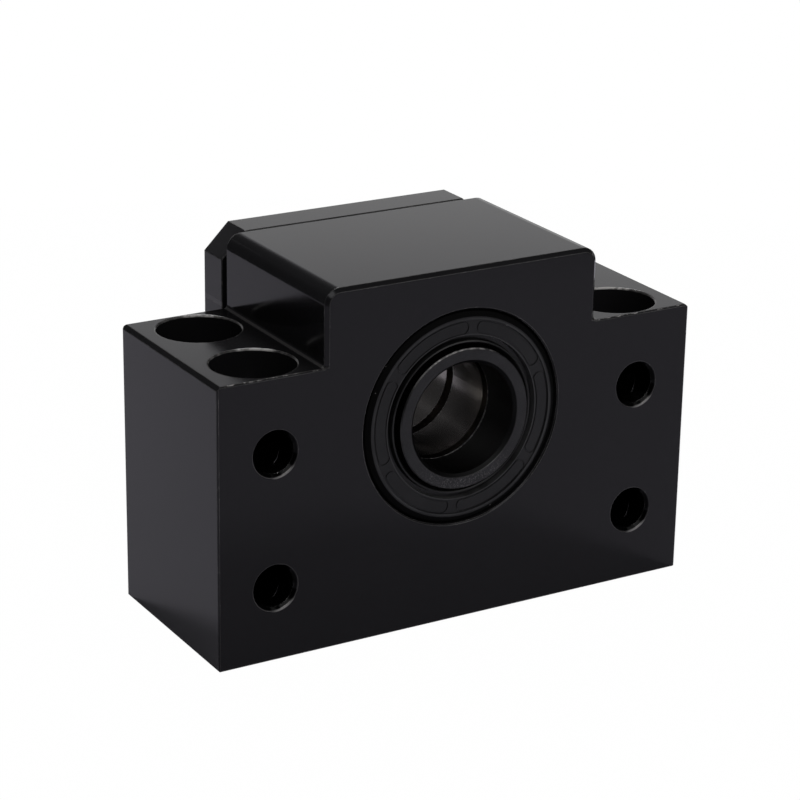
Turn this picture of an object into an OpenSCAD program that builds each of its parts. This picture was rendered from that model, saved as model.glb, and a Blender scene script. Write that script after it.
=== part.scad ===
// Fixed-side end support for a 15 mm ball screw, in millimetres.
// X runs across the base, Y along the shaft from the front seal to the cover, Z up.
// The origin is the middle of the four base bolts on the mounting face.

/* [Housing] */
// Width across the shoulders
housing_w = 70; // [66:0.5:90]
// Depth of the housing along the shaft
housing_d = 27; // [26.6:0.1:29]
// Height of the bearing block
housing_h = 48; // [47:0.5:60]
// Height of the shoulders above the mounting face
shoulder_h = 38; // [36:0.5:42]
// Width of the bearing block between the shoulders
hump_w = 40; // [38:0.5:42]
// Shaft centre above the mounting face
shaft_h = 28; // [26:0.1:29]
// Rounding of the top corners of the bearing block
hump_round = 2; // [1:0.1:3]
// Bevel round the front of the bearing block
hump_bevel = 0.5; // [0.2:0.1:1]
// Bevel along the outer top edge of each shoulder
shoulder_bevel = 0.5; // [0.3:0.1:1]
// Broken edges elsewhere on the housing
edge_break = 0.2; // [0.1:0.05:0.3]
// Fillet where a shoulder meets the bearing block
root_fillet = 0.5; // [0.2:0.1:1]

/* [Fixing holes] */
// Spacing of the hole columns across the housing
bolt_pitch_x = 54; // [53.5:0.1:56]
// Spacing of the base bolts along the shaft
bolt_pitch_y = 15; // [14:0.1:15.2]
// Diameter of the base bolt holes
bolt_hole_d = 6.6; // [5.5:0.1:7]
// Diameter of the counterbores for the base bolts
counterbore_d = 11; // [10:0.1:11.3]
// Depth of the counterbores for the base bolts
counterbore_depth = 6.5; // [5:0.1:6.8]
// Bevel round the mouth of each counterbore
counterbore_bevel = 0.15; // [0.1:0.05:0.3]
// Diameter of the through holes in the front face
face_hole_d = 5.5; // [4.5:0.1:5.8]
// Distance of the lower row of front holes below the shaft centre
face_pitch_z = 18; // [15:0.5:20]
// Bevel round the mouth of each front hole
face_hole_bevel = 0.45; // [0.2:0.05:0.8]

/* [Bearings] */
// Bore of the bearings and collars, which is the shaft diameter
bearing_bore = 15; // [14.5:0.1:15.5]
// Outer diameter of the bearings
bearing_od = 32; // [31.6:0.1:33]
// Width of one bearing
bearing_w = 9; // [8.6:0.1:9.4]
// Diameter of the balls
ball_d = 4.762; // [4.5:0.001:4.9]
// Balls in each bearing
ball_count = 11; // [8:1:11]
// Contact angle from the radial plane
contact_angle = 30; // [15:1:40]
// Radius of the ball grooves, as a share of the ball diameter
groove_conformity = 0.52; // [0.515:0.005:0.53]
// Drop from the ball centres to a ring's high shoulder
high_shoulder_drop = 1.5; // [1.4:0.05:1.7]
// Drop from the ball centres to a ring's relieved shoulder
low_shoulder_drop = 2.2; // [2.1:0.05:2.25]
// Bevel on the corners of the bearing rings
ring_bevel = 0.3; // [0.1:0.05:0.5]
// Length of the bevels at the ends of an inner ring's bore
ring_bore_bevel = 0.8; // [0.4:0.1:1]
// Width of a cage along the shaft
cage_w = 7.4; // [7:0.1:8]
// Radial thickness of a cage
cage_t = 1.5; // [1.2:0.1:1.8]
// Distance of the cage's mid-wall above the ball centres
cage_lift = 0; // [-0.1:0.05:0.1]

/* [Collars] */
// Outer diameter of the collars that the seals run on
collar_od = 19; // [18.6:0.1:19.4]
// Length of each collar
collar_l = 7; // [6.5:0.1:8]
// Bevel on the outside of a collar
collar_bevel = 0.15; // [0.1:0.05:0.4]
// Bevel in the bore of a collar
collar_bore_bevel = 0.45; // [0.2:0.05:0.6]

/* [Seals] */
// Outer diameter of the oil seals
seal_od = 29; // [28.5:0.1:29.6]
// Width of the oil seals
seal_w = 5; // [4.8:0.1:5.2]
// Width of the sloping shoulder round a seal's face
seal_slope = 1; // [0.6:0.05:1.1]
// Width of the raised rim on a seal's face
seal_rim_w = 0.4; // [0.3:0.05:0.6]
// Width of the groove between a seal's face and its dust lip
seal_groove_w = 0.6; // [0.4:0.05:0.7]
// Depth of the seal's face below its rim
seal_face_drop = 0.12; // [0.05:0.01:0.3]
// Thickness of the seal's web
seal_web_t = 1.8; // [1.5:0.1:2]
// Moulded frames round a seal's face
frame_count = 6; // [3:1:7]
// Length of each frame round the face, in degrees
frame_span = 45; // [20:1:46]
// Turn of the first frame from the top, in degrees
frame_turn = 36; // [0:1:60]
// Width of the line that draws a frame
frame_line_w = 0.2; // [0.12:0.01:0.25]
// Depth of the line that draws a frame
frame_line_depth = 0.1; // [0.05:0.01:0.2]
// Thickness of the garter spring that closes the lip
spring_t = 0.9; // [0.7:0.05:1]

/* [Cover] */
// Width of the bearing cover
cover_w = 40.4; // [38:0.2:42]
// Height of the bearing cover
cover_h = 39.6; // [38:0.2:40]
// Thickness of the cover plate
cover_t = 5.1; // [4.8:0.1:6]
// Gap left between the cover plate and the housing
cover_gap = 0.9; // [0.5:0.1:1.5]
// Flats on the corners of the cover
cover_flat = 3.5; // [2:0.1:4]
// Bevel round the cover plate's faces
cover_bevel = 0.1; // [0.05:0.05:0.5]
// Thickness of the wall between a bearing and the rear seal
cover_lip_t = 1.6; // [1.4:0.1:2]
// Thickness of the wall between a bearing and the front seal
housing_lip_t = 1.4; // [1:0.1:1.6]
// Bore of those two walls
lip_bore_d = 24.6; // [24:0.1:26]

/* [Cover screws] */
// Spacing of the cover screws, both across and up
screw_pitch = 29; // [28:0.1:30]
// Thread diameter of the cover screws
screw_d = 3; // [2.5:0.1:3.2]
// Length of the cover screws under the head
screw_l = 10; // [8:0.5:12]
// Diameter of the screw heads
screw_head_d = 5.5; // [5.2:0.1:5.8]
// Height of the screw heads
screw_head_h = 3; // [2.6:0.1:3.1]
// Width across flats of the hexagon sockets
socket_af = 2.5; // [2:0.1:3]
// Depth of the hexagon sockets
socket_depth = 1.5; // [1:0.1:1.8]
// Depth of a screw head below the cover's face
screw_sink = 0.3; // [0:0.1:0.4]

/* [Clearances] */
// Radial gap between a bearing or seal and its seat
seat_gap = 0.02; // [0.01:0.005:0.03]
// Radial gap between a seal lip and its collar
lip_gap = 0.05; // [0.02:0.01:0.08]
// Gap between a ball and its groove where they would touch
race_gap = 0.05; // [0.02:0.01:0.06]
// Gap between a ball and its cage pocket
pocket_gap = 0.12; // [0.08:0.01:0.15]
// Gap between the garter spring and its groove
spring_gap = 0.05; // [0.03:0.01:0.08]
// Radial gap round a screw's shank
shank_gap = 0.1; // [0.05:0.05:0.2]
// Radial gap round a screw's head
head_gap = 0.25; // [0.15:0.05:0.4]

/* [Hidden] */
$fn = 96;
overcut = 1;

// Places along the shaft, from front to rear
front_y = -housing_d / 2;
rear_y = housing_d / 2;
front_lip_y = front_y + seal_w;
front_bearing_y = front_lip_y + housing_lip_t;
mid_bearing_y = front_bearing_y + bearing_w;
rear_bearing_y = mid_bearing_y + bearing_w;
cover_y = rear_y + cover_gap;
cover_face_y = cover_y + cover_t;
rear_seal_y = rear_bearing_y + cover_lip_t;
screw_seat_y = cover_face_y - screw_sink - screw_head_h;
screw_tip_y = screw_seat_y - screw_l;

// Radii about the shaft
bore_r = bearing_bore / 2;
bearing_r = bearing_od / 2;
collar_r = collar_od / 2;
seal_r = seal_od / 2;
lip_bore_r = lip_bore_d / 2;
ball_r = ball_d / 2;
pitch_r = (bearing_bore + bearing_od) / 4;
groove_r = groove_conformity * ball_d;
groove_shift = groove_r - ball_r - race_gap;
cage_mid_r = pitch_r + cage_lift;
tap_depth = 1.5;

// Seal section, measured in from its face and out from the shaft
rim_out_r = seal_r - seal_slope;
rim_in_r = rim_out_r - seal_rim_w;
lip_r = collar_r + lip_gap;
lip_edge_r = lip_r + 0.6;
face_in_r = lip_edge_r + 0.3 + seal_groove_w;
groove_depth = 0.5 * seal_web_t;
seal_edge = 0.4;
shell_in_r = rim_in_r + 0.25;
neck_r = lip_r + 1.75;
main_lip_depth = 0.66 * seal_w;
spring_depth = 0.78 * seal_w;
spring_ring_r = lip_r + 1.45;
frame_in_r = face_in_r + 0.15;
frame_out_r = rim_in_r - 0.1;

// --- Placing -----------------------------------------------------------------

// Puts a shape on the shaft at y, with its Z axis pointing to the rear
module on_shaft(y) {
    translate([0, y, shaft_h]) rotate([-90, 0, 0]) children();
}

// The same, with its Z axis pointing to the front
module on_shaft_reversed(y) {
    translate([0, y, shaft_h]) rotate([90, 0, 0]) children();
}

// Extrudes an outline drawn in X and Z from y_start to the rear
module upright(y_start, depth) {
    translate([0, y_start + depth, 0]) rotate([90, 0, 0]) linear_extrude(depth) children();
}

module at_corners(pitch_a, pitch_b) {
    for (a = [-1, 1], b = [-1, 1])
        translate([a * pitch_a / 2, b * pitch_b / 2, 0]) children();
}

// --- Edges -------------------------------------------------------------------

// Cuts that bevel the edges of an outline at z = 0. The path is a list of convex
// corners, and a segment runs on past a corner only where another segment follows.
module edge_bevels(path, size) {
    last = len(path) - 2;
    for (i = [0:last]) {
        step = path[i + 1] - path[i];
        lead = i > 0 ? 2 * size : 0;
        tail = i < last ? 2 * size : 0;
        translate([path[i].x, path[i].y, 0])
            rotate([0, 0, atan2(step.y, step.x)])
            translate([-lead, 0, 0])
            rotate([90, 0, 90])
            linear_extrude(norm(step) + lead + tail)
            rotate(45)
            square(size * sqrt(2), center = true);
    }
}

// The same path with its first two corners repeated, so that it closes
function closed(path) = concat(path, [path[0], path[1]]);

// A rectangle with its corners cut off at 45 degrees
function flat_corners(w, h, flat) = [
    [flat - w / 2, -h / 2], [w / 2 - flat, -h / 2],
    [w / 2, flat - h / 2], [w / 2, h / 2 - flat],
    [w / 2 - flat, h / 2], [flat - w / 2, h / 2],
    [-w / 2, h / 2 - flat], [-w / 2, flat - h / 2]
];

// A drilled hole from z = 0 down, with a bevelled mouth
module drilled(d, depth, bevel) {
    translate([0, 0, -depth]) cylinder(h = depth + overcut, d = d);
    translate([0, 0, -bevel]) cylinder(h = bevel + overcut, d1 = d, d2 = d + 2 * (bevel + overcut));
}

// --- Housing -----------------------------------------------------------------

// The low block that the base bolts hold down, with every edge broken
module base_block() {
    intersection() {
        upright(front_y, housing_d) polygon([
            [-housing_w / 2 + edge_break, 0], [housing_w / 2 - edge_break, 0],
            [housing_w / 2, edge_break], [housing_w / 2, shoulder_h - shoulder_bevel],
            [housing_w / 2 - shoulder_bevel, shoulder_h], [shoulder_bevel - housing_w / 2, shoulder_h],
            [-housing_w / 2, shoulder_h - shoulder_bevel], [-housing_w / 2, edge_break]
        ]);
        linear_extrude(shoulder_h) polygon(flat_corners(housing_w, housing_d, edge_break));
        translate([-housing_w / 2, 0, shoulder_h / 2]) rotate([0, 90, 0])
            linear_extrude(housing_w) polygon(flat_corners(shoulder_h, housing_d, edge_break));
    }
}

// Cuts that bevel the end of the bearing block at z = 0, round both top corners
module hump_end_bevels(size) {
    side_x = hump_w / 2;
    turn_x = side_x - hump_round;
    turn_z = housing_h - hump_round;
    reach = hump_round + overcut;
    edge_bevels([[side_x, shoulder_h], [side_x, turn_z]], size);
    edge_bevels([[-turn_x, housing_h], [turn_x, housing_h]], size);
    edge_bevels([[-side_x, shoulder_h], [-side_x, turn_z]], size);
    for (side = [-1, 1])
        translate([side * turn_x, turn_z, -size]) difference() {
            translate([side > 0 ? 0 : -reach, 0, 0]) cube([reach, reach, 2 * size]);
            translate([0, 0, -size])
                cylinder(h = 4 * size, r1 = hump_round + size, r2 = hump_round - 3 * size);
        }
}

// The block over the bearings, from the shaft centre up
module hump_block() {
    difference() {
        upright(front_y, housing_d) difference() {
            translate([-hump_w / 2, shaft_h]) square([hump_w, housing_h - shaft_h]);
            for (side = [-1, 1])
                translate([side * (hump_w / 2 - hump_round), housing_h - hump_round])
                    difference() {
                        translate([side > 0 ? 0 : -hump_round - overcut, 0])
                            square(hump_round + overcut);
                        circle(hump_round, $fn = 48);
                    }
        }
        translate([0, front_y, 0]) rotate([90, 0, 0]) hump_end_bevels(hump_bevel);
        translate([0, rear_y, 0]) rotate([90, 0, 180])
            hump_end_bevels(edge_break);
    }
}

// Fillets along the feet of the bearing block
module root_fillets() {
    for (side = [-1, 1])
        upright(front_y + hump_bevel, housing_d - hump_bevel - edge_break) difference() {
            translate([side * hump_w / 2 - root_fillet, shoulder_h - root_fillet])
                square(2 * root_fillet);
            translate([side * (hump_w / 2 + root_fillet), shoulder_h + root_fillet])
                circle(root_fillet, $fn = 32);
        }
}

module base_bolt_holes() {
    at_corners(bolt_pitch_x, bolt_pitch_y) {
        translate([0, 0, -overcut]) cylinder(h = shoulder_h, d = bolt_hole_d);
        translate([0, 0, shoulder_h])
            drilled(counterbore_d, counterbore_depth, counterbore_bevel);
    }
}

module face_holes() {
    for (side = [-1, 1], z = [shaft_h, shaft_h - face_pitch_z])
        translate([side * bolt_pitch_x / 2, 0, z]) {
            translate([0, front_y, 0]) rotate([90, 0, 0])
                drilled(face_hole_d, housing_d + overcut, face_hole_bevel);
            translate([0, rear_y, 0]) rotate([-90, 0, 0])
                drilled(face_hole_d, overcut, face_hole_bevel);
        }
}

// Seal pocket, lip and bearing seat, bored on one axis
module shaft_bores() {
    on_shaft(front_y - overcut) cylinder(h = seal_w + overcut, r = seal_r + seat_gap);
    on_shaft(front_lip_y - overcut) cylinder(h = housing_d, r = lip_bore_r);
    on_shaft(front_bearing_y) cylinder(h = housing_d, r = bearing_r + seat_gap);
    on_shaft_reversed(front_y) drilled(seal_od, edge_break, edge_break);
    on_shaft(rear_y) drilled(bearing_od, edge_break, edge_break);
}

module screw_holes() {
    on_shaft(rear_y) at_corners(screw_pitch, screw_pitch)
        drilled(screw_d + 2 * shank_gap, rear_y - screw_tip_y + tap_depth, edge_break);
}

module housing() {
    color([0.13, 0.13, 0.14]) difference() {
        union() {
            base_block();
            hump_block();
            root_fillets();
        }
        base_bolt_holes();
        face_holes();
        shaft_bores();
        screw_holes();
    }
}

// --- Seals -------------------------------------------------------------------

// A curved band with round ends, centred on the X axis
module round_ended_arc(in_r, out_r, span) {
    end_r = 0.56 * (out_r - in_r);
    reach = 2 * out_r;
    intersection() {
        difference() {
            circle(out_r);
            circle(in_r);
        }
        union() {
            polygon([
                [0, 0], [reach * cos(-span / 2), reach * sin(-span / 2)],
                [reach, 0], [reach * cos(span / 2), reach * sin(span / 2)]
            ]);
            for (end = [-1, 1])
                rotate(end * span / 2) translate([(in_r + out_r) / 2, 0]) circle(end_r, $fn = 32);
        }
    }
}

// Lines that draw the moulded frames on a seal's face
module frame_lines() {
    for (i = [0:frame_count - 1])
        rotate(frame_turn - 90 + i * 360 / frame_count)
            translate([0, 0, -overcut])
            linear_extrude(overcut + seal_face_drop + frame_line_depth)
            difference() {
                round_ended_arc(frame_in_r, frame_out_r, frame_span);
                round_ended_arc(frame_in_r + frame_line_w, frame_out_r - frame_line_w, frame_span);
            }
}

// Half section of a lip seal, with the face at y = 0 and the shaft on the Y axis
module seal_section() {
    difference() {
        polygon([
            [rim_out_r, 0], [seal_r - seal_slope / 3, seal_slope / 3],
            [seal_r, seal_slope], [seal_r, seal_w - seal_edge],
            [seal_r - seal_edge, seal_w], [shell_in_r, seal_w],
            [shell_in_r, seal_web_t + 0.4], [neck_r + 0.4, seal_web_t],
            [neck_r, seal_web_t + 0.4], [neck_r, seal_w - 0.4],
            [neck_r - 0.8, seal_w - 0.3], [lip_r, main_lip_depth],
            [lip_r + 0.65, seal_web_t + 0.5], [lip_r + 0.45, seal_web_t - 0.1],
            [lip_r, groove_depth + 0.3], [lip_edge_r - 0.12, 0.2], [lip_edge_r, seal_face_drop],
            [lip_edge_r + 0.15, 0.2], [lip_edge_r + 0.3, groove_depth],
            [face_in_r - 0.15, groove_depth], [face_in_r, seal_face_drop],
            [rim_in_r - 0.06, seal_face_drop], [rim_in_r, 0]
        ]);
        translate([spring_ring_r, spring_depth])
            circle(spring_t / 2 + spring_gap, $fn = 32);
    }
}

module lip_seal() {
    color([0.09, 0.09, 0.1]) difference() {
        rotate_extrude() seal_section();
        frame_lines();
    }
}

module garter_spring() {
    color([0.6, 0.6, 0.58])
        rotate_extrude() translate([spring_ring_r, spring_depth]) circle(spring_t / 2, $fn = 32);
}

module front_seal() {
    on_shaft(front_y) lip_seal();
}

module front_seal_spring() {
    on_shaft(front_y) garter_spring();
}

module rear_seal() {
    on_shaft_reversed(rear_seal_y + seal_w) lip_seal();
}

module rear_seal_spring() {
    on_shaft_reversed(rear_seal_y + seal_w) garter_spring();
}

// --- Collars -----------------------------------------------------------------

// Plain turned collar, with its outer end at z = 0
module collar() {
    color([0.3, 0.3, 0.31]) rotate_extrude() polygon([
        [bore_r + collar_bore_bevel, 0], [collar_r - collar_bevel, 0],
        [collar_r, collar_bevel], [collar_r, collar_l - ring_bevel],
        [collar_r - ring_bevel, collar_l], [bore_r + collar_bore_bevel / 2, collar_l],
        [bore_r, collar_l - collar_bore_bevel], [bore_r, collar_bore_bevel]
    ]);
}

module front_collar() {
    on_shaft(front_bearing_y - collar_l) collar();
}

module rear_collar() {
    on_shaft_reversed(rear_bearing_y + collar_l) collar();
}

// --- Bearings ----------------------------------------------------------------
// Each bearing is drawn with its outside face at z = 0 and the pair's split at
// z = bearing_w. The outer rings' high shoulders are on the outside.

module groove(shift_out, shift_along) {
    translate([pitch_r + shift_out, bearing_w / 2 + shift_along]) circle(groove_r);
}

module outer_ring() {
    high_r = pitch_r + high_shoulder_drop;
    low_r = pitch_r + low_shoulder_drop;
    color([0.75, 0.75, 0.77]) rotate_extrude() difference() {
        polygon([
            [high_r + ring_bevel, 0], [bearing_r - ring_bevel, 0],
            [bearing_r, ring_bevel], [bearing_r, bearing_w - ring_bevel],
            [bearing_r - ring_bevel, bearing_w], [low_r + ring_bevel, bearing_w],
            [low_r, bearing_w - ring_bevel], [low_r, bearing_w / 2],
            [high_r, bearing_w / 2], [high_r, ring_bevel]
        ]);
        groove(-groove_shift * cos(contact_angle), groove_shift * sin(contact_angle));
    }
}

module inner_ring() {
    high_r = pitch_r - high_shoulder_drop;
    low_r = pitch_r - low_shoulder_drop;
    color([0.72, 0.71, 0.68]) rotate_extrude() difference() {
        polygon([
            [bore_r + ring_bore_bevel / 2, 0], [low_r - ring_bevel, 0],
            [low_r, ring_bevel], [low_r, bearing_w / 2],
            [high_r, bearing_w / 2], [high_r, bearing_w - ring_bevel],
            [high_r - ring_bevel, bearing_w], [bore_r + ring_bore_bevel / 2, bearing_w],
            [bore_r, bearing_w - ring_bore_bevel], [bore_r, ring_bore_bevel]
        ]);
        groove(groove_shift * cos(contact_angle), -groove_shift * sin(contact_angle));
    }
}

// A ring with one round pocket for each ball
module cage() {
    color([0.82, 0.72, 0.5]) difference() {
        translate([0, 0, (bearing_w - cage_w) / 2]) difference() {
            cylinder(h = cage_w, r = cage_mid_r + cage_t / 2);
            translate([0, 0, -overcut])
                cylinder(h = cage_w + 2 * overcut, r = cage_mid_r - cage_t / 2);
        }
        for (i = [1:ball_count])
            rotate(i * 360 / ball_count)
                translate([cage_mid_r - cage_t, 0, bearing_w / 2]) rotate([0, 90, 0])
                cylinder(h = 2 * cage_t, r = ball_r + pocket_gap, $fn = 48);
    }
}

module ball(i) {
    color([0.85, 0.85, 0.87])
        rotate(i * 360 / ball_count) translate([pitch_r, 0, bearing_w / 2]) sphere(d = ball_d, $fn = 48);
}

module front_bearing() {
    on_shaft(front_bearing_y) children();
}

module rear_bearing() {
    on_shaft_reversed(rear_bearing_y) children();
}

// --- Cover and its screws ----------------------------------------------------

// Plate with a spigot that holds the bearings against the front lip
module retaining_cover() {
    plate = flat_corners(cover_w, cover_h, cover_flat);
    color([0.14, 0.14, 0.15]) difference() {
        union() {
            on_shaft(cover_y) difference() {
                linear_extrude(cover_t) polygon(plate);
                edge_bevels(closed(plate), cover_bevel);
                translate([0, 0, cover_t]) edge_bevels(closed(plate), cover_bevel);
            }
            on_shaft(rear_bearing_y) difference() {
                cylinder(h = cover_y - rear_bearing_y + overcut, r = bearing_r - seat_gap);
                spigot_bevel();
            }
        }
        on_shaft(rear_bearing_y - overcut)
            cylinder(h = cover_lip_t + 2 * overcut, r = lip_bore_r);
        on_shaft(rear_seal_y)
            cylinder(h = cover_face_y - rear_seal_y + overcut, r = seal_r + seat_gap);
        on_shaft(cover_face_y) drilled(seal_od, cover_bevel, cover_bevel);
        on_shaft(screw_seat_y) at_corners(screw_pitch, screw_pitch) {
            translate([0, 0, -cover_t]) cylinder(h = 2 * cover_t, r = screw_d / 2 + shank_gap);
            cylinder(h = cover_t, r = screw_head_d / 2 + head_gap);
        }
    }
}

// Bevel round the tip of the spigot
module spigot_bevel() {
    rotate_extrude() translate([bearing_r - seat_gap, 0]) rotate(45)
        square(ring_bevel * sqrt(2), center = true);
}

// Hexagon socket head screw, with its head's seat at z = 0
module socket_screw() {
    socket_r = socket_af / 2 / cos(30);
    difference() {
        union() {
            translate([0, 0, -screw_l + edge_break]) cylinder(h = screw_l, r = screw_d / 2);
            translate([0, 0, -screw_l])
                cylinder(h = edge_break, r1 = screw_d / 2 - edge_break, r2 = screw_d / 2);
            cylinder(h = screw_head_h - edge_break, r = screw_head_d / 2);
            translate([0, 0, screw_head_h - edge_break])
                cylinder(h = edge_break, r1 = screw_head_d / 2, r2 = screw_head_d / 2 - edge_break);
        }
        translate([0, 0, screw_head_h - socket_depth])
            cylinder(h = socket_depth + overcut, r = socket_r, $fn = 6);
    }
}

module cover_screws() {
    color([0.2, 0.2, 0.21])
        on_shaft(screw_seat_y) at_corners(screw_pitch, screw_pitch) socket_screw();
}

// --- The assembly ------------------------------------------------------------

housing();
front_seal();
front_seal_spring();
front_collar();
front_bearing() outer_ring();  // front_outer_ring
front_bearing() inner_ring();  // front_inner_ring
front_bearing() cage();  // front_cage
for (i = [1:ball_count])
    front_bearing() ball(i);
rear_bearing() outer_ring();  // rear_outer_ring
rear_bearing() inner_ring();  // rear_inner_ring
rear_bearing() cage();  // rear_cage
for (i = [1:ball_count])
    rear_bearing() ball(i);
rear_collar();
rear_seal();
rear_seal_spring();
retaining_cover();
cover_screws();
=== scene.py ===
import math

import bpy
from mathutils import Matrix, Vector


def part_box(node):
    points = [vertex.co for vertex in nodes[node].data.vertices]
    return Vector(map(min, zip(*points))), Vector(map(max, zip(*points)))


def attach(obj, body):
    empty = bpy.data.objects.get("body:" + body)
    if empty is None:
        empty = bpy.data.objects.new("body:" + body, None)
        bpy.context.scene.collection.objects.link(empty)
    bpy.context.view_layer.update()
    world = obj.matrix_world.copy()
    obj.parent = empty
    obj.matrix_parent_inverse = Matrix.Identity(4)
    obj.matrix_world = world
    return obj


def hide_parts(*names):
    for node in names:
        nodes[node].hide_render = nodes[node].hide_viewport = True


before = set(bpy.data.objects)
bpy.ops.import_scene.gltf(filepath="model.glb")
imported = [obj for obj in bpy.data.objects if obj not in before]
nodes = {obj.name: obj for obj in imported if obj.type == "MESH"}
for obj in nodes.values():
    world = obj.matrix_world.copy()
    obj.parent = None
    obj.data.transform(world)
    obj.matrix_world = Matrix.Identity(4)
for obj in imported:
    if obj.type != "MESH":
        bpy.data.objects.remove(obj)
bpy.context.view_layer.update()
mm = 0.001
shaftHeight = 28 * mm
print("frame loaded:", len(nodes), "nodes")


# one output of a node, usable in sums
class Wire:
    def __init__(self, shade, socket):
        self.shade = shade
        self.socket = socket

    def calc(self, operation, first, second):
        return self.shade.add("Math", {"operation": operation}, {0: first, 1: second})

    def __add__(self, other):
        return self.calc("ADD", self, other)

    def __radd__(self, other):
        return self.calc("ADD", other, self)

    def __sub__(self, other):
        return self.calc("SUBTRACT", self, other)

    def __rsub__(self, other):
        return self.calc("SUBTRACT", other, self)

    def __mul__(self, other):
        return self.calc("MULTIPLY", self, other)

    def __rmul__(self, other):
        return self.calc("MULTIPLY", other, self)


# the node tree of a new material or world, emptied and built up node by node
class Shade:
    def __init__(self, owner):
        owner.use_nodes = True
        self.data = owner
        self.tree = owner.node_tree
        self.tree.nodes.clear()

    # settings are made before the sockets; a ramp's stops are pairs of place and brightness
    def add(self, kind, settings=None, sockets=None, out=0):
        node = self.tree.nodes.new("ShaderNode" + kind)
        for key, value in (settings or {}).items():
            if key == "stops":
                ramp = node.color_ramp.elements
                while len(ramp) < len(value):
                    ramp.new(0.5)
                for stop, (place, level) in zip(ramp, value):
                    stop.position = place
                    stop.color = (level, level, level, 1)
            else:
                setattr(node, key, value)
        for key, value in (sockets or {}).items():
            if isinstance(value, Wire):
                self.tree.links.new(value.socket, node.inputs[key])
            else:
                node.inputs[key].default_value = value
        return Wire(self, node.outputs[out]) if len(node.outputs) else None

    def place(self, scale, shift=(0, 0, 0)):
        spot = self.add("TexCoord", out="Object")
        return self.add("Mapping", None, {"Vector": spot, "Scale": scale, "Location": shift})

    def noise(self, size, detail=2.0, rough=0.5, stretch=(1, 1, 1)):
        spot = self.place(tuple(part / size for part in stretch))
        sockets = {"Vector": spot, "Scale": 1.0, "Detail": detail, "Roughness": rough}
        return self.add("TexNoise", None, sockets)

    # scattered dots: this share of the cells holds one, its radius a part of the cell
    def specks(self, spacing, share, radius):
        cells = {"Vector": self.place((1 / spacing,) * 3), "Scale": 1.0}
        distance = self.add("TexVoronoi", None, cells, out="Distance")
        draw = self.add("SeparateColor", None, {0: self.add("TexVoronoi", None, cells, out="Color")})
        near = self.ramp(distance, (radius * 0.7, 1), (radius, 0))
        return near * self.ramp(draw, (1 - share, 0), (1.001 - share, 1))

    def ramp(self, value, *stops):
        return self.add("ValToRGB", {"stops": stops}, {"Fac": value})

    # goes from low to high while value goes from start to end, and stays there beyond
    def slope(self, value, start, end, low=0.0, high=1.0):
        return self.add("MapRange", None, {"Value": value, 1: start, 2: end, 3: low, 4: high})

    # 1 between low and high, falling to 0 over soft
    def band(self, value, low, high, soft):
        return self.slope(value, low - soft, low) * self.slope(value, high, high + soft, 1.0, 0.0)

    def bands(self, value, spans, soft):
        return sum(self.band(value, low, high, soft) for low, high in spans)

    # sockets 6 and 7 are the Mix node's two colours, and its output 2 is their blend
    def blend(self, amount, first, second):
        sockets = {"Factor": amount, 6: first, 7: second}
        return self.add("Mix", {"data_type": "RGBA"}, sockets, out=2)

    def bump(self, height, distance, strength, edge=None):
        sockets = {"Height": height, "Distance": distance, "Strength": strength}
        if edge:
            sockets["Normal"] = self.add("Bevel", {"samples": 6}, {"Radius": edge})
        return self.add("Bump", None, sockets)

    def length(self, vector):
        return self.add("VectorMath", {"operation": "LENGTH"}, {0: vector}, out="Value")

    # distance to a point that lies this far off in two directions
    def spread(self, first, second):
        return self.length(self.add("CombineXYZ", None, {"X": first, "Y": second}))

    def axis(self, name):
        return self.add("SeparateXYZ", None, {0: self.add("TexCoord", out="Object")}, out=name)

    def shaftRadius(self):
        return self.length(self.place((1, 0, 1), (0, 0, -shaftHeight)))

    # offset from the nearest of a row of places, pitch apart, one of them at start
    def repeat(self, value, pitch, start):
        ahead = value - start + pitch / 2
        return self.add("Math", {"operation": "FLOORED_MODULO"}, {0: ahead, 1: pitch}) - pitch / 2

    # 0 on flat faces, more where the surface turns within width
    def wornEdges(self, width):
        soft = self.add("Bevel", {"samples": 4}, {"Radius": width})
        flat = self.add("NewGeometry", out="Normal")
        return 1 - self.add("VectorMath", {"operation": "DOT_PRODUCT"}, {0: soft, 1: flat}, out="Value")

    def finish(self, **sockets):
        named = {key.replace("_", " "): value for key, value in sockets.items()}
        surface = self.add("BsdfPrincipled", None, named)
        self.add("OutputMaterial", None, {"Surface": surface})
        return self.data


def newMaterial(name):
    return Shade(bpy.data.materials.new(name))


def grey(level, warm=0.0):
    return (level * (1 + warm), level, level * (1 - warm), 1)


def dress(material, *names):
    for name in names:
        mesh = nodes[name].data
        for index in range(len(mesh.materials)):
            mesh.materials[index] = material


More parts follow.
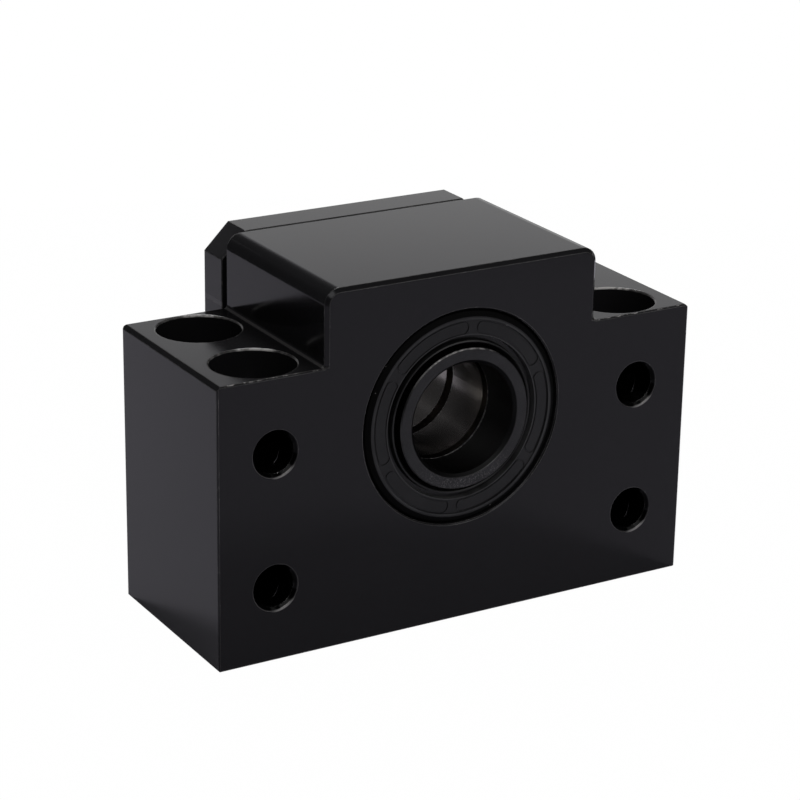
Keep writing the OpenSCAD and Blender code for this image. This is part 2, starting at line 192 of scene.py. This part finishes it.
# blackened steel of the housing and its cover
housingLook = {
    "colour": (0.0100, 0.0098, 0.0104, 1),
    "colourPatch": (0.0120, 0.0117, 0.0124, 1),
    "bare": (0.66, 0.64, 0.62, 1),   # steel where the black has worn through, also the colour of the painted highlights
    "grain": 0.45 * mm,              # size of the ground grain
    "grainDepth": 0.002 * mm,
    "patch": 14 * mm,                # size of the soft patches in the gloss
    "gloss": (0.11, 0.15),           # least and most roughness
    "tint": (0.97, 0.955, 1.0, 1),   # of the reflections in the oxide
    "edge": 0.22 * mm,               # softness of the edges
    "soft": 0.05 * mm,               # softness of the worn lines
    "wearWidth": 0.12 * mm,
    "burnishPatch": 5 * mm,
    "edgeBurnishAndSheen": (0.065, 0.19),        # least and most bare steel along the edges, partly wear and partly painted edge highlight
    "chip": 0.9 * mm,                # size of the chips on the edges
    "chipLight": 0.32,
    "boltPitch": (54 * mm, 15 * mm),
    "rim": (5.48 * mm, 5.62 * mm),   # painted highlight round each counterbore's rim
    "rimHeight": (37.75 * mm, 38.2 * mm),
    "rimBreak": 1.2 * mm,            # size of the breaks in it
    "farSide": (0.51, 0.86),         # the way that the painted rim highlight is brightest
    "farRise": (4.9 * mm, 5.55 * mm),  # distances that way between which the painted highlight grows
    "farLight": (0.16, 2.0),         # from this much to this much
    "holePitch": (54 * mm, 18 * mm),
    "holeHeight": 10 * mm,           # of the lower face holes
    "mouth": (2.7 * mm, 3.06 * mm),  # bevel in a face hole's mouth, painted dark as shade
    "mouthDepth": (-14 * mm, -13.03 * mm),  # from just before the front face
    "holeShadeRadius": 3.4 * mm,         # painted shade inside the face holes
    "holeShadeDepth": 12.9 * mm,         # how far it reaches, from the housing's middle
    "holeShadeColour": grey(0.006),
    "arcHighlight": (3.10 * mm, 3.30 * mm),   # painted highlight, a thin line at the lower right of a face hole
    "arcSide": (0.4, -0.92),         # the way to it
    "arcRise": (2.75 * mm, 3.2 * mm),  # distances that way between which it brightens
    "arcLight": 0.33,
    "frontEdge": (-13.6 * mm, -13.32 * mm),  # depth of the shoulders' front edges
    "shoulderTop": (37.92 * mm, 38.1 * mm),  # their height
    "shoulder": (20.6 * mm, 40 * mm),  # and their reach from the middle
    "dash": 0.6 * mm,                # length of the painted highlight dashes along the shoulders' front edges
    "dashLight": 0.55,
    "dashBase": 0.015,               # the faint painted highlight line between them
    "root": (20.14 * mm, 20.42 * mm),  # where the shoulders meet the hump, with a painted highlight on the fillet
    "rootHeight": (37.9 * mm, 38.45 * mm),
    "rootSoft": 0.08 * mm,
    "rootLight": 0.08,
}


# a faint burnish all along the handled edges, partly worn steel and partly a painted edge highlight, and
# chips
def handledEdges(shade, look):
    edge = shade.wornEdges(look["wearWidth"])
    least, most = look["edgeBurnishAndSheen"]
    patches = shade.ramp(shade.noise(look["burnishPatch"]), (0.35, least), (0.65, most))
    edgeBurnishAndSheen = shade.ramp(edge, (0.006, 0), (0.040, 1)) * patches
    flakes = shade.ramp(shade.noise(look["chip"], detail=4, rough=0.7), (0.58, 0), (0.64, 1))
    chips = shade.ramp(edge, (0.03, 0), (0.09, 1)) * flakes * look["chipLight"]
    return edgeBurnishAndSheen, chips


# a painted highlight round the rim of each counterbore, brightest on its far side
def counterboreRims(shade, look, across, along, height):
    aside = shade.repeat(across, look["boltPitch"][0], look["boltPitch"][0] / 2)
    back = shade.repeat(along, look["boltPitch"][1], look["boltPitch"][1] / 2)
    rim = shade.band(shade.spread(aside, back), *look["rim"], look["soft"])
    rim = rim * shade.band(height, *look["rimHeight"], look["soft"])
    away = aside * look["farSide"][0] + back * look["farSide"][1]
    farHighlight = shade.slope(away, *look["farRise"], *look["farLight"])
    return rim * farHighlight * shade.ramp(shade.noise(look["rimBreak"], detail=3), (0.42, 0.25), (0.60, 1))


# the face holes: mouths and insides painted dark as shade, and a painted highlight at the lower right of
# each
def faceHoles(shade, look, across, along, height):
    aside = shade.repeat(across, look["holePitch"][0], look["holePitch"][0] / 2)
    level = shade.repeat(height, look["holePitch"][1], look["holeHeight"])
    around = shade.spread(aside, level)
    near = shade.band(along, *look["mouthDepth"], 0.02 * mm)
    mouth = near * shade.band(around, *look["mouth"], 0.06 * mm)
    innerShade = shade.band(around, 0, look["holeShadeRadius"], look["soft"])
    innerShade = innerShade * shade.band(along, -look["holeShadeDepth"], look["holeShadeDepth"], look["soft"])
    toArc = aside * look["arcSide"][0] + level * look["arcSide"][1]
    arcHighlight = near * shade.band(around, *look["arcHighlight"], look["soft"])
    arcHighlight = arcHighlight * shade.slope(toArc, *look["arcRise"]) * look["arcLight"]
    return mouth + innerShade * 0.9, arcHighlight


# painted highlight dashes along the shoulders' front edges, and painted highlights on the fillets beside
# the hump
def shoulderWear(shade, look, across, along, height):
    outside = shade.add("Math", {"operation": "ABSOLUTE"}, {0: across})
    front = shade.band(along, *look["frontEdge"], 0.03 * mm)
    front = front * shade.band(height, *look["shoulderTop"], 0.03 * mm)
    front = front * shade.band(outside, *look["shoulder"], 0.1 * mm)
    knocks = shade.noise(look["dash"], detail=3, rough=0.65, stretch=(0.6, 2.5, 2.5))
    dash = shade.ramp(knocks, (0.54, 0), (0.58, 1))
    rootHighlights = shade.band(outside, *look["root"], look["rootSoft"])
    rootHighlights = rootHighlights * shade.band(height, *look["rootHeight"], look["rootSoft"]) * look["rootLight"]
    return front * (dash * look["dashLight"] + look["dashBase"]) + rootHighlights


def blackenedSteel(look):
    shade = newMaterial("housingSteel")
    patch = shade.noise(look["patch"], detail=3)
    grain = shade.noise(look["grain"], detail=3, stretch=(0.12, 1, 1))
    spot = (shade.axis("X"), shade.axis("Y"), shade.axis("Z"))
    edgeBurnishAndSheen, chips = handledEdges(shade, look)
    dark, arcHighlight = faceHoles(shade, look, *spot)
    # worn steel and chips, with the painted highlights on the rims, the face holes and the shoulders
    wearAndHighlights = edgeBurnishAndSheen + chips + arcHighlight + counterboreRims(shade, look, *spot) + shoulderWear(shade, look, *spot)
    tone = shade.blend(patch, look["colour"], look["colourPatch"])
    # painted shade in the face holes' mouths and insides
    tone = shade.blend(dark, tone, look["holeShadeColour"])
    gloss = shade.ramp(patch, (0.3, look["gloss"][0]), (0.7, look["gloss"][1]))
    return shade.finish(
        Base_Color=shade.blend(wearAndHighlights, tone, look["bare"]),
        Metallic=chips * 0.8 + dark,
        Roughness=gloss + wearAndHighlights * 0.3,
        IOR=1.30,
        Specular_Tint=look["tint"],
        Normal=shade.bump(grain, look["grainDepth"], 0.3, look["edge"]),
    )


dress(blackenedSteel(housingLook), "housing", "retaining_cover")
print("housing and cover finished")


sealLook = {
    "colour": grey(0.0045),
    "bloom": grey(0.010),            # grey bloom on old rubber
    "bloomPatch": 5 * mm,
    "gloss": (0.30, 0.42),
    "mould": 0.25 * mm,              # size of the mould's texture
    "mouldDepth": 0.006 * mm,
    "dust": grey(0.35, 0.03),
    "dustSpacing": 1.6 * mm,
    "shoulder": (13.52 * mm, 16 * mm),  # the sloping shoulder, painted dark as shade
    "shoulderShadeColour": grey(0.002),
    # painted highlights on the edges: radius from and to, and how light
    "highlightLines": [(13.12 * mm, 13.30 * mm, 0.7), (10.92 * mm, 11.12 * mm, 2.0), (10.05 * mm, 10.22 * mm, 0.5)],
    "highlightColour": grey(0.045),
    "soft": 0.05 * mm,
}


def sealRubber(look):
    shade = newMaterial("sealRubber")
    bloom = shade.noise(look["bloomPatch"], detail=4)
    mould = shade.noise(look["mould"], detail=2)
    dust = shade.specks(look["dustSpacing"], 0.15, 0.05)
    radius = shade.shaftRadius()
    # painted highlight lines on the seal's edges, broken up unevenly
    highlightLines = sum(shade.band(radius, low, high, look["soft"]) * light for low, high, light in look["highlightLines"])
    highlightLines = highlightLines * shade.ramp(shade.noise(4 * mm, detail=3), (0.35, 0.25), (0.65, 1))
    # painted shade on the seal's sloping shoulder
    shoulderShade = shade.band(radius, *look["shoulder"], look["soft"]) * 0.85
    tone = shade.blend(shade.ramp(bloom, (0.4, 0), (0.65, 1)), look["colour"], look["bloom"])
    tone = shade.blend(shoulderShade, tone, look["shoulderShadeColour"])
    tone = shade.blend(highlightLines, tone, look["highlightColour"])
    gloss = shade.ramp(bloom, (0.3, look["gloss"][0]), (0.7, look["gloss"][1]))
    return shade.finish(
        Base_Color=shade.blend(dust, tone, look["dust"]),
        Metallic=shoulderShade,
        Roughness=gloss + dust * 0.4 + shoulderShade * 0.4,
        IOR=1.38,
        Normal=shade.bump(mould, look["mouldDepth"], 0.35),
    )


dress(sealRubber(sealLook), "front_seal", "rear_seal")
print("seals finished")


# what turned and ground steels share: fine lines round the shaft, under a film
def turnedLines(shade, look, radius, along):
    spot = shade.add("CombineXYZ", None, {"X": radius, "Y": along})
    rings = shade.add("TexNoise", None, {"Vector": spot, "Scale": 1 / look["line"], "Detail": 2.0})
    film = shade.noise(3 * mm, detail=3)
    stained = tuple(part * (1 - look["stain"]) for part in look["colour"][:3]) + (1,)
    tone = shade.blend(film, look["colour"], stained)
    gloss = shade.ramp(film, (0.3, look["rough"]), (0.7, look["rough"] * (1 + look["stain"])))
    return tone, gloss, shade.bump(rings, look["lineDepth"], 0.6)


# uneven breaks in a painted highlight, from faint to full
def rubbing(shade):
    return shade.ramp(shade.noise(0.9 * mm, detail=3, rough=0.7), (0.45, 0.15), (0.62, 1))


# painted highlight lines round the bore, where its edges catch the light
def rubbedLines(shade, look, radius, along):
    bore = shade.band(radius, *look["highlightRadius"], 0.05 * mm)
    return shade.bands(along, look["highlightLines"], 0.03 * mm) * bore * rubbing(shade) * 0.8


collarLook = {
    "colour": grey(0.045),
    # colour of the painted highlights, and of the grit
    "bare": grey(0.55, 0.03),
    "rough": 0.28,
    "line": 0.12 * mm,               # spacing of the turned lines
    "lineDepth": 0.003 * mm,
    "stain": 0.25,                   # how much darker and duller the film makes it
    # painted highlight lines in the bore
    "highlightLines": [(-7.72 * mm, -7.52 * mm), (11.32 * mm, 11.52 * mm)],
    "highlightRadius": (7 * mm, 7.62 * mm),
    "bore": (7 * mm, 7.87 * mm),     # the bore with its bevel, painted dark as shade
    "boreShadeColour": grey(0.012),
    "face": (7.95 * mm, 9.36 * mm),
    "faceEnds": [(-14.2 * mm, -13.96 * mm), (17.76 * mm, 18 * mm)],
    "grit": 0.12 * mm,               # size of the grit pressed into the face
    "gritHeight": (19.5 * mm, 23 * mm),  # it thins out between these
    "gritLight": 0.25,
    "edge": 0.3 * mm,                # width of the painted highlight on the edge outside the face
    "glintHeight": (35.6 * mm, 37.3 * mm),  # the painted highlight brightens towards the top between these
    "glintLight": 0.7,
}


def collarSteel(look):
    shade = newMaterial("collarSteel")
    radius, along, height = shade.shaftRadius(), shade.axis("Y"), shade.axis("Z")
    tone, gloss, normal = turnedLines(shade, look, radius, along)
    grit = shade.ramp(shade.noise(look["grit"], detail=3, rough=0.7), (0.54, 0), (0.68, 1))
    grit = grit * shade.slope(height, *look["gritHeight"], 1.0, 0.12)
    grit = grit * shade.band(radius, *look["face"], 0.03 * mm)
    outer = look["face"][1]
    # painted highlight on the face's outer edge, brightest at the top
    edge = shade.band(radius, outer, outer + look["edge"], 0.02 * mm) * rubbing(shade)
    edge = edge * shade.slope(height, *look["glintHeight"], 0.05, 1.0)
    edge = edge * shade.bands(along, look["faceEnds"], 0.02 * mm)
    # the bore painted dark as shade
    bore = shade.band(radius, *look["bore"], 0.03 * mm)
    # painted highlights in the bore and on the edge, and the grit, shown as lit bare steel
    worn = rubbedLines(shade, look, radius, along) + grit * look["gritLight"] + edge * look["glintLight"]
    tone = shade.blend(bore, tone, look["boreShadeColour"])
    return shade.finish(
        Base_Color=shade.blend(worn, tone, look["bare"]),
        Metallic=1 - worn,
        Roughness=gloss + bore * 0.15 + worn * 0.2,
        Normal=normal,
    )


ringLook = {
    "colour": grey(0.28, 0.06),
    # colour of the painted highlight lines
    "bare": grey(0.55, 0.03),
    "rough": 0.21,
    "line": 0.08 * mm,
    "lineDepth": 0.0003 * mm,
    "stain": 0.1,
    "highlightLines": [(0.94 * mm, 1.12 * mm), (2.68 * mm, 2.86 * mm)],  # painted highlight lines at the ends of the bores
    "highlightRadius": (7 * mm, 7.62 * mm),
    # painted shade in the bevels at the ends of the inner bores, where the rings meet
    "gapShade": [(-7.2 * mm, -6.34 * mm), (1.14 * mm, 2.66 * mm), (10.14 * mm, 11 * mm)],
    "gapShadeRadius": (7 * mm, 7.96 * mm),
    "gapShadeColour": grey(0.10, 0.12),
}


def ringSteel(look):
    shade = newMaterial("ringSteel")
    radius, along = shade.shaftRadius(), shade.axis("Y")
    tone, gloss, normal = turnedLines(shade, look, radius, along)
    # worn here holds only the painted highlight lines, shown as lit bare steel
    worn = rubbedLines(shade, look, radius, along)
    # painted shade in the gaps between the rings
    gapShade = shade.bands(along, look["gapShade"], 0.03 * mm)
    gapShade = gapShade * shade.band(radius, *look["gapShadeRadius"], 0.03 * mm)
    tone = shade.blend(gapShade, tone, look["gapShadeColour"])
    return shade.finish(
        Base_Color=shade.blend(worn, tone, look["bare"]),
        Metallic=1 - worn,
        Roughness=gloss + worn * 0.2,
        Normal=normal,
    )


ballLook = {
    "colour": grey(0.6),
    "rough": 0.06,
    "line": 0.5 * mm,
    "lineDepth": 0.0002 * mm,
    "stain": 0.25,
}


def ballSteel(look):
    shade = newMaterial("ballSteel")
    tone, gloss, normal = turnedLines(shade, look, shade.shaftRadius(), shade.axis("Y"))
    return shade.finish(Base_Color=tone, Metallic=1.0, Roughness=gloss, Normal=normal)


rings = [name for name in nodes if name.endswith(("_inner_ring", "_outer_ring"))]
balls = [name for name in nodes if "_ball_" in name]
dress(collarSteel(collarLook), "front_collar", "rear_collar")
dress(ringSteel(ringLook), *rings)
dress(ballSteel(ballLook), *balls)
print("steels finished")


# cages of glass-filled polyamide
cageLook = {
    "colour": (0.62, 0.50, 0.30, 1),
    "amber": (0.50, 0.36, 0.17, 1),  # where heat has yellowed it
    "amberPatch": 4 * mm,
    "fibre": 0.18 * mm,
    "fibreDepth": 0.01 * mm,
    "gloss": (0.42, 0.58),
}


def cagePolyamide(look):
    shade = newMaterial("cagePolyamide")
    aged = shade.noise(look["amberPatch"], detail=3)
    fibre = shade.noise(look["fibre"], detail=3, stretch=(1, 0.25, 1))
    return shade.finish(
        Base_Color=shade.blend(shade.ramp(aged, (0.35, 0), (0.7, 1)), look["colour"], look["amber"]),
        Roughness=shade.ramp(fibre, (0.3, look["gloss"][0]), (0.7, look["gloss"][1])),
        Subsurface_Weight=0.15,
        Subsurface_Scale=0.4 * mm,
        Normal=shade.bump(fibre, look["fibreDepth"], 0.4),
    )


dress(cagePolyamide(cageLook), "front_cage", "rear_cage")
print("cages finished")


# object mode, with these pieces selected and the last one active
def onlyThis(*pieces):
    if bpy.context.object and bpy.context.object.mode != "OBJECT":
        bpy.ops.object.mode_set(mode="OBJECT")
    bpy.ops.object.select_all(action="DESELECT")
    for piece in pieces:
        piece.select_set(True)
        bpy.context.view_layer.objects.active = piece


# names the object that was just made, and its mesh
def startPiece(name):
    piece = bpy.context.object
    piece.name = name
    piece.data.name = name
    return piece


# edit mode with only the faces or vertices that pass the test selected
def select(piece, test, mode="FACE"):
    bpy.ops.object.mode_set(mode="EDIT")
    bpy.ops.mesh.select_mode(type=mode)
    bpy.ops.mesh.select_all(action="DESELECT")
    bpy.ops.object.mode_set(mode="OBJECT")
    for part in piece.data.polygons if mode == "FACE" else piece.data.vertices:
        part.select = test(part.center if mode == "FACE" else part.co)
    bpy.ops.object.mode_set(mode="EDIT")


def useModifier(piece, kind, **settings):
    change = piece.modifiers.new(kind.lower(), kind)
    for key, value in settings.items():
        setattr(change, key, value)
    bpy.context.view_layer.objects.active = piece
    bpy.ops.object.modifier_apply(modifier=change.name)


# a section wound about the z axis, rising by the pitch on each turn
def windUp(piece, pitch, turns, steps):
    useModifier(
        piece, "SCREW", angle=2 * math.pi, screw_offset=pitch, iterations=turns,
        steps=steps, render_steps=steps, use_merge_vertices=False)


# garter springs, each a close coil bent into a ring
springLook = {
    "colour": (0.46, 0.45, 0.43, 1),
    "stain": (0.30, 0.28, 0.25, 1),
    "drawn": 0.05 * mm,              # size of the drawing marks
    "drawnDepth": 0.002 * mm,
    "wire": 0.09 * mm,               # radius of the wire
    "wireSides": 4,
    "coil": 0.36 * mm,               # radius of the coil to the middle of the wire
    "coilSteps": 8,                  # to each turn
    "pitch": 0.205 * mm,
    "weld": 0.002 * mm,              # joins the ends of the coil
}


def springSteel(look):
    shade = newMaterial("springSteel")
    film = shade.noise(2 * mm, detail=3)
    drawn = shade.noise(look["drawn"], detail=2)
    return shade.finish(
        Base_Color=shade.blend(film, look["colour"], look["stain"]),
        Metallic=1.0,
        Roughness=shade.ramp(film, (0.3, 0.25), (0.7, 0.4)),
        Normal=shade.bump(drawn, look["drawnDepth"], 0.4),
    )


def garterSpring(name, node, look, material):
    low, high = (Vector(corner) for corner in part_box(node))
    centre = (low + high) / 2
    ring = (high.x - low.x - (high.y - low.y)) / 2
    turns = round(2 * math.pi * ring / look["pitch"])
    length = turns * look["pitch"]
    onlyThis()
    bpy.ops.mesh.primitive_circle_add(
        vertices=look["wireSides"], radius=look["wire"], location=(look["coil"], 0, 0),
        rotation=(math.pi / 2, 0, 0))
    piece = startPiece(name)
    bpy.ops.object.transform_apply(location=True, rotation=True, scale=True)
    windUp(piece, look["pitch"], turns, look["coilSteps"])
    for vertex in piece.data.vertices:
        along = 2 * math.pi * vertex.co.z / length
        out = ring + vertex.co.x
        vertex.co = (out * math.sin(along), centre.y + vertex.co.y, centre.z + out * math.cos(along))
    onlyThis(piece)
    bpy.ops.object.mode_set(mode="EDIT")
    bpy.ops.mesh.select_all(action="SELECT")
    bpy.ops.mesh.remove_doubles(threshold=look["weld"])
    bpy.ops.mesh.normals_make_consistent(inside=False)
    bpy.ops.object.mode_set(mode="OBJECT")
    bpy.ops.object.shade_smooth()
    piece.data.materials.append(material)
    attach(piece, "housing_body")
    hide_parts(node)


coilSteel = springSteel(springLook)
garterSpring("frontGarterSpring", "front_seal_spring", springLook, coilSteel)
garterSpring("rearGarterSpring", "rear_seal_spring", springLook, coilSteel)
print("garter springs made")


# cover screws; a screw stands on z = 0, its head above and its shank below
screwLook = {
    "colour": grey(0.008, 0.03),
    "colourPatch": grey(0.016, 0.06),
    "bare": grey(0.3, 0.04),
    "gloss": (0.30, 0.42),
    "grain": 0.12 * mm,
    "grainDepth": 0.004 * mm,
    "wearWidth": 0.05 * mm,
    "headRadius": 2.75 * mm,
    "headHeight": 3.0 * mm,
    "headBreak": 0.25 * mm,          # how far the head's bevels draw in, and the top one's height
    "headRim": 0.2 * mm,             # height of the bevel under the ribs
    "ribs": 36,
    "ribDepth": 0.09 * mm,
    "flats": 2.5 * mm,
    "socketDepth": 1.5 * mm,
    "coneInset": 0.15 * mm,          # cone at the bottom of the socket
    "coneDepth": 0.3 * mm,
    "shankRadius": 1.5 * mm,
    "coreRadius": 1.2 * mm,
    "length": 10 * mm,
    "tip": 0.4 * mm,                 # broken edge at the end of the shank
    "tipNarrow": 0.7,
    "pitch": 0.5 * mm,
    "threadStart": 0.7 * mm,         # from the tip
    "threadFree": 1.4 * mm,          # length of the shank without thread
    "threadSteps": 24,               # to each turn
    "ridge": 0.9,                    # size of the ridge, as a part of the thread's depth
    "ridgeOut": 0.08,                # and how far out its middle stands
    "smooth": 25,                    # degrees, the sharpest edge that is shaded smooth
    "spacing": 14.5 * mm,            # from the shaft's axis, across and up
    "twists": (14, 41, 3, 27),       # degrees that each screw is turned
}


def screwSteel(look):
    shade = newMaterial("screwSteel")
    patch = shade.noise(1.5 * mm, detail=3)
    grain = shade.noise(look["grain"], detail=3)
    worn = shade.ramp(shade.wornEdges(look["wearWidth"]), (0.05, 0), (0.3, 1))
    worn = worn * shade.ramp(patch, (0.4, 0), (0.6, 1))
    tone = shade.blend(patch, look["colour"], look["colourPatch"])
    return shade.finish(
        Base_Color=shade.blend(worn, tone, look["bare"]),
        Metallic=worn * 0.9,
        Roughness=shade.ramp(patch, (0.3, look["gloss"][0]), (0.7, look["gloss"][1])),
        Normal=shade.bump(grain, look["grainDepth"], 0.4),
    )


# passes the faces whose middle lies at this height
def levelWith(height):
    return lambda centre: abs(centre.z - height) < 0.001 * mm


def extrudeUp(rise):
    bpy.ops.mesh.extrude_region_move(TRANSFORM_OT_translate={"value": (0, 0, rise)})


def narrowTo(share):
    bpy.ops.transform.resize(value=(share, share, 1), center_override=(0, 0, 0))


# a ribbed head, bevelled above and below, and the shank's core
def headAndCore(name, look):
    low, top = look["headRim"], look["headHeight"] - look["headBreak"]
    sides = 2 * look["ribs"]
    onlyThis()
    bpy.ops.mesh.primitive_cylinder_add(
        vertices=sides, radius=look["headRadius"], depth=top - low, location=(0, 0, (top + low) / 2))
    head = startPiece(name)
    bpy.ops.object.transform_apply(location=True)
    select(head, lambda co: round(math.atan2(co.y, co.x) * sides / (2 * math.pi)) % 2 == 1, "VERT")
    narrowTo(1 - look["ribDepth"] / look["headRadius"])
    shrink = 1 - look["headBreak"] / look["headRadius"]
    for height, rise in ((top, look["headBreak"]), (low, -low)):
        select(head, levelWith(height))
        extrudeUp(rise)
        narrowTo(shrink)
    select(head, levelWith(0))
    bpy.ops.mesh.inset(thickness=look["headRadius"] * shrink - look["coreRadius"])
    extrudeUp(look["tip"] - look["length"])
    extrudeUp(-look["tip"])
    narrowTo(look["tipNarrow"])
    bpy.ops.object.mode_set(mode="OBJECT")
    return head


# the hexagon socket, cut with a six-sided punch that has a cone below
def cutSocket(head, look):
    onlyThis()
    bpy.ops.mesh.primitive_cylinder_add(
        vertices=6, radius=look["flats"] / 2 / math.cos(math.pi / 6), depth=2 * look["socketDepth"],
        location=(0, 0, look["headHeight"]))
    punch = startPiece("punch")
    bpy.ops.object.transform_apply(location=True)
    select(punch, levelWith(look["headHeight"] - look["socketDepth"]))
    bpy.ops.mesh.inset(thickness=look["coneInset"])
    extrudeUp(-look["coneDepth"])
    bpy.ops.mesh.merge(type="CENTER")
    bpy.ops.object.mode_set(mode="OBJECT")
    useModifier(head, "BOOLEAN", operation="DIFFERENCE", object=punch, solver="EXACT")
    onlyThis(punch)
    bpy.ops.object.delete()


# the thread, a ridge wound round the core
def windThread(look):
    depth = look["shankRadius"] - look["coreRadius"]
    turns = int((look["length"] - look["threadFree"]) / look["pitch"])
    start = (look["coreRadius"] + depth * look["ridgeOut"], 0, look["threadStart"] - look["length"])
    onlyThis()
    bpy.ops.mesh.primitive_circle_add(
        vertices=3, radius=depth * look["ridge"], location=start,
        rotation=(math.pi / 2, math.pi / 2, 0))
    thread = startPiece("thread")
    bpy.ops.object.transform_apply(location=True, rotation=True, scale=True)
    windUp(thread, look["pitch"], turns, look["threadSteps"])
    onlyThis(thread)
    bpy.ops.object.mode_set(mode="EDIT")
    bpy.ops.mesh.select_all(action="SELECT")
    bpy.ops.mesh.fill_holes(sides=3)
    bpy.ops.mesh.select_all(action="SELECT")
    bpy.ops.mesh.normals_make_consistent(inside=False)
    bpy.ops.object.mode_set(mode="OBJECT")
    return thread


def socketScrew(name, look, material):
    head = headAndCore(name, look)
    cutSocket(head, look)
    thread = windThread(look)
    onlyThis(thread, head)
    bpy.ops.object.join()
    bpy.ops.object.shade_smooth_by_angle(angle=math.radians(look["smooth"]))
    head.data.materials.clear()
    head.data.materials.append(material)
    return head


# four screws in the cover, each copy with its own mesh
def fitScrews(look, material):
    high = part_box("cover_screws")[1]
    seat = high[1] - look["headHeight"]
    first = socketScrew("coverScrew1", look, material)
    screws = [first]
    for number in (2, 3, 4):
        onlyThis(first)
        bpy.ops.object.duplicate()
        screws.append(startPiece("coverScrew" + str(number)))
    corners = [(-1, 1), (1, 1), (1, -1), (-1, -1)]
    for screw, (side, level), twist in zip(screws, corners, look["twists"]):
        onlyThis(screw)
        spot = Vector((side * look["spacing"], seat, shaftHeight + level * look["spacing"]))
        lay = Matrix.Rotation(-math.pi / 2, 4, "X") @ Matrix.Rotation(math.radians(twist), 4, "Z")
        screw.matrix_world = Matrix.Translation(spot) @ lay
        bpy.ops.object.transform_apply(location=True, rotation=True, scale=True)
        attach(screw, "housing_body")
        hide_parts("cover_screws")


fitScrews(screwLook, screwSteel(screwLook))
print("cover screws made")


stageLook = {
    "paper": (0.83, 0.81, 0.90, 1),
    "tableRadius": 0.19,
    "cardDistance": 0.62,            # backdrop card behind the object
    "cardTurn": -30.7,               # degrees, square to the camera
    "cardWidth": 100,                # degrees of arc
    "cardHeight": 0.335,
    "seen": 0.995,                   # brightness that the camera sees
    "glossLow": (0.0, 0.1),          # heights between which it brightens in reflections
    "glossHigh": (0.20, 0.31),       # and between which it fades again
}


# white to the camera and, as its height sets, in reflections; plain paper to all other light
def paperWhite(look):
    shade = newMaterial("stageWhite")
    camera = shade.add("LightPath", out="Is Camera Ray")
    glossy = shade.add("LightPath", out="Is Glossy Ray")
    through = shade.add("LightPath", out="Is Transmission Ray")
    height = shade.axis("Z")
    rise = shade.slope(height, *look["glossLow"], 0.02, 0.95)
    fade = shade.slope(height, *look["glossHigh"], 0.96, 0.18)
    seen = camera * look["seen"] + glossy * rise * fade + through * look["seen"]
    paper = shade.add("BsdfDiffuse", None, {"Color": look["paper"]})
    white = shade.add("Emission", None, {"Color": grey(1.0), "Strength": 1.0})
    surface = shade.add("MixShader", None, {0: seen, 1: paper, 2: white})
    shade.add("OutputMaterial", None, {"Surface": surface})
    return shade.data


def paperStage(look):
    paper = paperWhite(look)
    onlyThis()
    bpy.ops.mesh.primitive_circle_add(vertices=128, radius=look["tableRadius"], fill_type="NGON")
    table = startPiece("stageTable")
    table.data.materials.append(paper)
    onlyThis()
    # the card: what is left of an upright ring once its front is cut away
    bpy.ops.mesh.primitive_cylinder_add(
        vertices=144, radius=look["cardDistance"], depth=look["cardHeight"], end_fill_type="NOTHING",
        location=(0, 0, look["cardHeight"] / 2))
    card = startPiece("stageCard")
    bpy.ops.object.transform_apply(location=True)
    behind = Matrix.Rotation(math.radians(look["cardTurn"]), 3, "Z") @ Vector((0, 1, 0))
    reach = look["cardDistance"] * math.cos(math.radians(look["cardWidth"] / 2))
    select(card, lambda centre: centre.xy.dot(behind.xy) < reach)
    bpy.ops.mesh.delete(type="FACE")
    bpy.ops.object.mode_set(mode="OBJECT")
    card.data.materials.append(paper)
    onlyThis()


paperStage(stageLook)

# place, size, power in watts, and the degrees that a lamp is turned about its beam
lamps = {
    "topLight": ((0.05, 0.10, 1.10), (0.9, 0.9), 0.8, 0),
    "keyLight": ((0.250, 0.619, 0.81), (0.25, 0.25), 4.4, 0),
    "stripLight": ((-0.33, -0.56, 0.76), (0.9, 0.28), 1.7, 22),
    "frontLight": ((0.16, -0.30, 0.25), (0.3, 0.3), 0.35, 0),
}


# a lamp that faces the foot of the object
def softbox(name, place, size, power, twist):
    data = bpy.data.lights.new(name, "AREA")
    data.shape = "RECTANGLE"
    data.size, data.size_y = size
    data.energy = power
    lamp = bpy.data.objects.new(name, data)
    bpy.context.scene.collection.objects.link(lamp)
    aim = Vector(place).to_track_quat("Z", "Y").to_matrix().to_4x4()
    lamp.matrix_world = Matrix.Translation(place) @ aim @ Matrix.Rotation(math.radians(twist), 4, "Z")


for lampName, settings in lamps.items():
    softbox(lampName, *settings)

roomLook = {"white": (1, 1, 1, 1), "dark": (0.06, 0.06, 0.063, 1)}


# white to the camera, and a dim room to everything else
def studioWorld(look):
    shade = Shade(bpy.data.worlds.new("studio"))
    colour = shade.blend(shade.add("LightPath", out="Is Camera Ray"), look["dark"], look["white"])
    shade.add("OutputWorld", None, {"Surface": shade.add("Background", None, {"Color": colour})})
    bpy.context.scene.world = shade.data


studioWorld(roomLook)

cameraView = {
    "turn": -30.722,                 # degrees round from the front
    "tilt": 20.234,
    "roll": 0.956,
    "distance": 355.283 * mm,
    "aim": (-0.643 * mm, 1.137 * mm, 25.760 * mm),
    "lens": 120.767,
}


def placeCamera(look):
    data = bpy.data.cameras.new("camera")
    data.lens = look["lens"]
    data.clip_start = 0.01
    turn = Matrix.Rotation(math.radians(look["turn"]), 4, "Z")
    tilt = Matrix.Rotation(math.radians(90 - look["tilt"]), 4, "X")
    roll = Matrix.Rotation(math.radians(look["roll"]), 4, "Z")
    back = Matrix.Translation((0, 0, look["distance"]))
    view = bpy.data.objects.new("camera", data)
    bpy.context.scene.collection.objects.link(view)
    view.matrix_world = Matrix.Translation(look["aim"]) @ turn @ tilt @ roll @ back
    bpy.context.scene.camera = view


placeCamera(cameraView)
bpy.context.scene.view_settings.view_transform = "Standard"
print("stage, lights and camera set")
